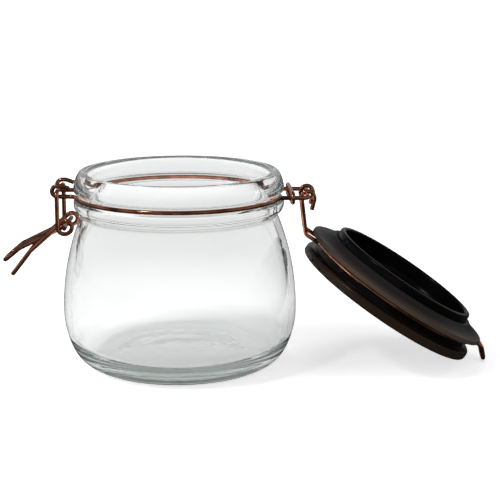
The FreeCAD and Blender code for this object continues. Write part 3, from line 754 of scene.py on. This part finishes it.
@dataclass
class Lid:
    """The black lid and its sealing ring, turned closed on the jar's axis and then swung open."""

    seal_height: float = 91.7
    lip_drop: float = 2.3
    edge_rise: float = 1.05
    seal_radius: float = 46.8
    seal_wall: float = 2.1
    seal_lip: float = 1.9
    seal_flare: float = 14.0
    fit: float = 0.1
    plug_radius: float = 36.2
    plug_length: float = 9.2
    plug_wall: float = 2.8
    dish_depth: float = 11.0
    groove_radius: float = 41.3
    groove_height: float = 5.3
    disc_radius: float = 45.3
    disc_edge: float = 4.4
    dome_rise: float = 2.4
    dish_round: float = 5.0
    plug_round: float = 1.2
    seat_round: float = 0.3
    groove_round: float = 0.4
    disc_round: float = 1.7
    seal_back_round: float = 0.4
    seal_bore_round: float = 0.5
    seal_round: float = 0.6
    hinge_x: float = 59.4
    hinge_z: float = 80.6
    open_angle: float = 213.242

    @property
    def seal_top(self) -> float:
        """Height of the sealing ring's flat back when the lid is closed."""
        return self.seal_height + self.edge_rise + self.seal_wall

    @property
    def groove_low(self) -> float:
        """Height of the seat on the sealing ring's back when the lid is closed."""
        return self.seal_top + self.fit

    @property
    def groove_high(self) -> float:
        """Height of the disc's lower edge when the lid is closed."""
        return self.groove_low + self.groove_height

    def swung(self) -> Matrix:
        """Turn about the hinge bar that opens the lid, in metres."""
        bar = Matrix.Translation(Vector((self.hinge_x, 0.0, self.hinge_z)) * MM)
        return bar @ Matrix.Rotation(math.radians(self.open_angle), 4, "Y") @ bar.inverted()

    def lid_section(self) -> Section:
        """Half section of the closed lid, from the dish's floor round to the dome.

        Returns:
            The section, from axis to axis.
        """
        plug_end = self.groove_low - self.plug_length
        dish = self.plug_radius - self.plug_wall
        dish_floor = plug_end + self.dish_depth
        disc_top = self.groove_high + self.disc_edge
        line = Section()
        line.start(0.0, dish_floor)
        line.line(dish, dish_floor, corner=self.dish_round)
        line.line(dish, plug_end, corner=self.plug_round)
        line.line(self.plug_radius, plug_end, corner=self.plug_round)
        line.line(self.plug_radius, self.groove_low, corner=self.seat_round)
        line.line(self.groove_radius, self.groove_low, corner=self.seat_round)
        line.line(self.groove_radius, self.groove_high, corner=self.groove_round)
        line.line(self.disc_radius, self.groove_high, corner=self.disc_round)
        line.line(self.disc_radius, disc_top, corner=self.disc_round)
        line.arc_crown(0.0, disc_top + self.dome_rise)
        return line

    def seal_section(self) -> Section:
        """Section of the closed sealing ring, with its hollow flare over the rim.

        Returns:
            The section, closed on itself.
        """
        bore = self.plug_radius + self.fit
        lip_end = self.seal_height - self.lip_drop
        edge = self.seal_height + self.edge_rise
        line = Section()
        middle = (bore + self.seal_radius) / 2
        line.start(middle, self.seal_top)
        line.line(bore, self.seal_top, corner=self.seal_back_round)
        line.line(bore, lip_end, corner=self.seal_bore_round)
        line.line(bore + self.seal_lip, lip_end, corner=self.seal_round)
        here = Vector((bore + self.seal_lip, lip_end))
        there = Vector((self.seal_radius, edge))
        chord = there - here
        away = Vector((chord.y, -chord.x)).normalized()
        offset = math.sqrt(self.seal_flare ** 2 - (chord.length / 2) ** 2)
        line.arc((here + there) / 2 + away * offset, there.x, there.y, corner=self.seal_round)
        line.line(self.seal_radius, self.seal_top, corner=self.seal_round)
        line.line(middle, self.seal_top)
        return line

    def swing(self, piece: bpy.types.Object) -> None:
        """Swing a closed piece open about the hinge bar and apply its place to its mesh."""
        deselect_everything()
        piece.select_set(True)
        bpy.context.view_layer.objects.active = piece
        piece.matrix_world = self.swung()
        bpy.ops.object.transform_apply(location=True, rotation=True, scale=True)

    def build(self, lacquer: bpy.types.Material, rubber: bpy.types.Material) -> list[bpy.types.Object]:
        """Turn the lid and the sealing ring, swing them open and dress them.

        Args:
            lacquer: The lid's finish.
            rubber: The sealing ring's finish.

        Returns:
            The lid and the sealing ring.
        """
        lid = turn_section("lid_black", self.lid_section())
        lid.data.materials.append(lacquer)
        seal = turn_section("sealing_ring", self.seal_section())
        seal.data.materials.append(rubber)
        for piece, node, slot in ((lid, "lid", Slot.LID), (seal, "gasket", Slot.GASKET)):
            self.swing(piece)
            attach(piece, Body.LID.value)
            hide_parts(node)
        return [lid, seal]


@dataclass
class WireClosure:
    """The bent wires of the closure, which keep their solids, bodies and slots."""

    pieces: tuple[str, ...] = ("neck_ring", "neck_ring_keeper", "lever", "bail", "lid_ring")

    def dress(self, nodes: dict[str, bpy.types.Object], copper: bpy.types.Material) -> list[bpy.types.Object]:
        """Give every wire its copper finish.

        Args:
            nodes: The frame's nodes by name.
            copper: The wires' finish.

        Returns:
            The wires.
        """
        dressed = []
        for name in self.pieces:
            wire = nodes[name]
            wire.data.materials.clear()
            wire.data.materials.append(copper)
            dressed.append(wire)
        return dressed


# Studio

@dataclass(frozen=True)
class Lamp:
    """Round soft lamp that isn't seen through glass.

    Its places and its diameter are in metres and its power is in watts.
    """

    name: str
    place: Place
    aim: Place
    size: float
    power: float
    mirrored: bool = False

    def build(self) -> None:
        """Put the lamp in the scene."""
        data = bpy.data.lights.new(self.name, "AREA")
        data.shape = "DISK"
        data.size = self.size
        data.energy = self.power
        lamp = bpy.data.objects.new(self.name, data)
        lamp.location = self.place
        lamp.rotation_euler = (Vector(self.aim) - Vector(self.place)).to_track_quat("-Z", "Y").to_euler()
        lamp.visible_glossy = self.mirrored
        lamp.visible_transmission = False
        bpy.context.scene.collection.objects.link(lamp)


@dataclass
class Studio:
    """Pale floor, white surroundings, soft lamps and the camera at the picture's place."""

    camera_place: Place = (32.88, -629.06, 194.82)
    camera_pitch: float = 12.65
    focal_length: float = 99.15
    sensor_width: float = 36.0
    clip_start: float = 10.0
    clip_end: float = 20000.0
    floor_radius: float = 12000.0
    floor_corners: int = 96
    floor_drop: float = 0.02
    floor_colour: Colour = (0.93, 0.93, 0.93, 1.0)
    mirrored_floor: Colour = (0.06, 0.06, 0.06, 1.0)
    floor_roughness: float = 0.9
    floor_specular: float = 0.1
    floor_glow: float = 0.58
    far_glow: float = 1.0
    fade_from: float = 200.0
    fade_to: float = 900.0
    # Painted pool of light on the floor, seen only through glass: its glow near the jar and far from it, and
    # where it changes.
    painted_fill_near: float = 0.75
    painted_fill_far: float = 0.22
    painted_fill_from: float = 40.0
    painted_fill_to: float = 240.0
    horizon_top: float = 0.15
    overhead_from: float = 0.60
    overhead: Colour = (0.12, 0.12, 0.125, 1.0)
    overhead_through_glass: Colour = (0.32, 0.33, 0.33, 1.0)
    mirrored_horizon: Colour = (0.40, 0.40, 0.40, 1.0)
    aim: Place = (0.03, 0.0, 0.05)
    lid_aim: Place = (0.1, 0.0, 0.05)

    def camera(self) -> None:
        """Place the camera, looking along +Y and a little down."""
        data = bpy.data.cameras.new("camera")
        data.sensor_fit = "HORIZONTAL"
        data.sensor_width = self.sensor_width
        data.lens = self.focal_length
        data.clip_start = self.clip_start * MM
        data.clip_end = self.clip_end * MM
        camera = bpy.data.objects.new("camera", data)
        camera.location = Vector(self.camera_place) * MM
        camera.rotation_euler = (math.radians(90.0 - self.camera_pitch), 0.0, 0.0)
        bpy.context.scene.collection.objects.link(camera)
        bpy.context.scene.camera = camera

    def joined(self, tree: bpy.types.NodeTree, operation: str, one: bpy.types.NodeSocket,
               other: bpy.types.NodeSocket) -> bpy.types.NodeSocket:
        """Two numbers joined by a clamped operation.

        Args:
            tree: Where the node goes.
            operation: Name of the operation.
            one: Socket of the first number.
            other: Socket of the second number.

        Returns:
            The result's socket.
        """
        node = tree.nodes.new("ShaderNodeMath")
        node.operation = operation
        node.use_clamp = True
        tree.links.new(one, node.inputs[0])
        tree.links.new(other, node.inputs[1])
        return node.outputs[0]

    def mirror_mask(self, tree: bpy.types.NodeTree, path: bpy.types.Node) -> bpy.types.NodeSocket:
        """Mask of what shiny surfaces mirror, without what glass lets through.

        Args:
            tree: Where the nodes go.
            path: The tree's light path node.

        Returns:
            The mask's socket.
        """
        glossy = path.outputs["Is Glossy Ray"]
        return self.joined(tree, "SUBTRACT", glossy, path.outputs["Is Transmission Ray"])

    def by_distance(self, tree: bpy.types.NodeTree, away: bpy.types.NodeSocket, reach: tuple[float, float],
                    values: tuple[float, float], kind: str) -> bpy.types.NodeSocket:
        """Number that changes with the distance from the jar.

        Args:
            tree: Where the node goes.
            away: Socket of the distance in metres.
            reach: Distances in millimetres where the change begins and ends.
            values: Number at each of them.
            kind: How it changes in between.

        Returns:
            The number's socket.
        """
        spread = tree.nodes.new("ShaderNodeMapRange")
        spread.interpolation_type = kind
        spread.inputs["From Min"].default_value = reach[0] * MM
        spread.inputs["From Max"].default_value = reach[1] * MM
        spread.inputs["To Min"].default_value = values[0]
        spread.inputs["To Max"].default_value = values[1]
        tree.links.new(away, spread.inputs["Value"])
        return spread.outputs["Result"]

    def glow(self, tree: bpy.types.NodeTree, path: bpy.types.Node) -> bpy.types.NodeSocket:
        """Glow of the floor for the camera and through glass, which fades to white far away. Through glass it
        is a painted pool of light, strongest near the jar, which lightens the jar's shadow there.

        Args:
            tree: Where the nodes go.
            path: The tree's light path node.

        Returns:
            The glow's socket.
        """
        place = tree.nodes.new("ShaderNodeTexCoord")
        length = tree.nodes.new("ShaderNodeVectorMath")
        length.operation = "LENGTH"
        tree.links.new(place.outputs["Object"], length.inputs[0])
        away = length.outputs["Value"]
        # Painted pool of light: seen through glass, the floor glows more near the jar, which lightens the
        # jar's shadow there.
        painted_fill = self.by_distance(tree, away, (self.painted_fill_from, self.painted_fill_to),
                                   (self.painted_fill_near, self.painted_fill_far), "LINEAR")
        fade = self.by_distance(tree, away, (self.fade_from, self.fade_to),
                                (self.floor_glow, self.far_glow), "SMOOTHSTEP")
        through = self.joined(tree, "MULTIPLY", path.outputs["Is Transmission Ray"], painted_fill)
        shown = self.joined(tree, "MAXIMUM", path.outputs["Is Camera Ray"], through)
        return self.joined(tree, "MULTIPLY", shown, fade)

    def floor(self) -> None:
        """Round pale floor that keeps a soft shadow, with a painted pool of light near the jar that shows
        only through glass.
        """
        deselect_everything()
        bpy.ops.mesh.primitive_circle_add(vertices=self.floor_corners, radius=self.floor_radius * MM,
                                          fill_type="NGON", location=(0, 0, -self.floor_drop * MM))
        floor = bpy.context.object
        floor.name = "studio_floor"
        material = bpy.data.materials.new("pale_floor")
        material.use_nodes = True
        tree = material.node_tree
        shader = tree.nodes["Principled BSDF"]
        shader.inputs["Roughness"].default_value = self.floor_roughness
        shader.inputs["Specular IOR Level"].default_value = self.floor_specular
        shader.inputs["Emission Color"].default_value = WHITE
        path = tree.nodes.new("ShaderNodeLightPath")
        paint = colour_mix(tree, self.mirror_mask(tree, path))
        paint.inputs["A"].default_value = self.floor_colour
        paint.inputs["B"].default_value = self.mirrored_floor
        tree.links.new(paint.outputs["Result"], shader.inputs["Base Color"])
        tree.links.new(self.glow(tree, path), shader.inputs["Emission Strength"])
        floor.data.materials.append(material)

    def surroundings(self) -> None:
        """World that is white at the horizon and below it, and grey overhead.

        Glass shows a lighter grey overhead, and shiny surfaces mirror a darker horizon.
        """
        world = bpy.data.worlds.new("studio_world")
        bpy.context.scene.world = world
        world.use_nodes = True
        tree = world.node_tree
        nodes, links = tree.nodes, tree.links
        place = nodes.new("ShaderNodeTexCoord")
        split = nodes.new("ShaderNodeSeparateXYZ")
        links.new(place.outputs["Generated"], split.inputs[0])
        ramp = nodes.new("ShaderNodeValToRGB")
        low, high = ramp.color_ramp.elements
        low.position = self.horizon_top
        low.color = WHITE
        high.position = self.overhead_from
        high.color = BLACK
        links.new(split.outputs["Z"], ramp.inputs["Fac"])
        path = nodes.new("ShaderNodeLightPath")
        above = colour_mix(tree, path.outputs["Is Transmission Ray"])
        above.inputs["A"].default_value = self.overhead
        above.inputs["B"].default_value = self.overhead_through_glass
        level = colour_mix(tree, self.mirror_mask(tree, path))
        level.inputs["A"].default_value = WHITE
        level.inputs["B"].default_value = self.mirrored_horizon
        sky = colour_mix(tree, ramp.outputs["Color"])
        links.new(above.outputs["Result"], sky.inputs["A"])
        links.new(level.outputs["Result"], sky.inputs["B"])
        links.new(sky.outputs["Result"], nodes["Background"].inputs["Color"])

    def lamps(self) -> list[Lamp]:
        """The lamps, of which only the small spark shows in shiny surfaces."""
        return [
            Lamp("key_lamp", place=(-1.1, -0.35, 0.8), aim=self.aim, size=1.0, power=13.0),
            Lamp("spark_lamp", place=(-0.55, -0.6, 0.95), aim=self.aim, size=0.14, power=2.5, mirrored=True),
            Lamp("fill_lamp", place=(0.6, -0.9, 1.2), aim=self.aim, size=0.9, power=3.0),
            Lamp("top_lamp", place=(0.12, 0.2, 0.9), aim=self.lid_aim, size=0.5, power=1.2),
        ]

    def build(self) -> None:
        """Build the whole studio."""
        self.camera()
        self.floor()
        self.surroundings()
        for lamp in self.lamps():
            lamp.build()


def main() -> None:
    """Load the frame, build and dress every piece, and set up the studio."""
    logging.basicConfig(level=logging.INFO, format="%(name)s: %(message)s")
    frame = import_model()
    bpy.context.scene.view_settings.view_transform = "Standard"
    bpy.context.scene.cycles.max_bounces = GLASS_BOUNCES
    bpy.context.scene.cycles.glossy_bounces = GLASS_BOUNCES
    bpy.context.scene.cycles.transmission_bounces = GLASS_BOUNCES
    lid = Lid()
    mottle = mottle_group()
    lid_place = lid_place_group(lid.swung())
    pieces = [GlassJar().build(ClearGlass().make(mottle))]
    pieces += lid.build(BlackLacquer().make(mottle, lid_place), SealRubber().make(mottle, lid_place))
    pieces += WireClosure().dress(frame["nodes"], CopperWire().make(mottle))
    for piece in pieces:
        LOG.info("%s: %d faces", piece.name, len(piece.data.polygons))
    Studio().build()


if __name__ == "__main__":
    main()
